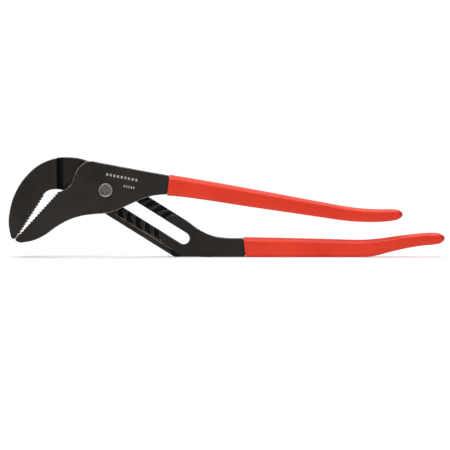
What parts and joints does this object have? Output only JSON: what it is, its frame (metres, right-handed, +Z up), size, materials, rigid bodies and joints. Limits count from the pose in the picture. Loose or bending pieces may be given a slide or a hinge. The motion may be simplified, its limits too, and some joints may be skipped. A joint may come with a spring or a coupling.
{
  "type": "tongue and groove pliers",
  "caption": "Large slip-joint pliers with angled serrated jaws, a slotted grooved rail, a bolt pivot and dipped vinyl grips.",
  "frame": {"origin": "on the surface that the tool stands on, under the middle of its box in X and Y", "axes": "+X along the tool from the jaws to the handle ends, +Y through its thickness away from the tongue half, +Z up"},
  "size_m": [0.4192, 0.0292, 0.0959],
  "materials": {
    "black_oxide_steel": "warm near-black oxide on forged steel, satin, with paler worn edges",
    "bright_steel": "bare steel, satin, peened and slightly rough in the middle of the head",
    "nut_steel": "dark plain steel",
    "red_vinyl": "dipped soft vinyl, semi-gloss, smooth"
  },
  "bodies": {
    "groove_half": {"groove_half": "black_oxide_steel", "lower_grip": "red_vinyl"},
    "pivot": {"pivot_bolt": "bright_steel", "slot_washer": "bright_steel", "lock_nut": "nut_steel"},
    "tongue_half": {"tongue_half": "black_oxide_steel", "upper_grip": "red_vinyl"}
  },
  "joints": [
    {"name": "setting", "type": "hinge", "parent": "groove_half", "child": "pivot", "pos_m": [0.18034, -0.0024, 0.48336], "axis": [0, -1, 0], "range_deg": [0, 6.6]},
    {"name": "handle_swing", "type": "hinge", "parent": "pivot", "child": "tongue_half", "pos_m": [-0.1163, -0.0024, 0.0644], "axis": [0, -1, 0], "range_deg": [0, 55]}
  ]
}
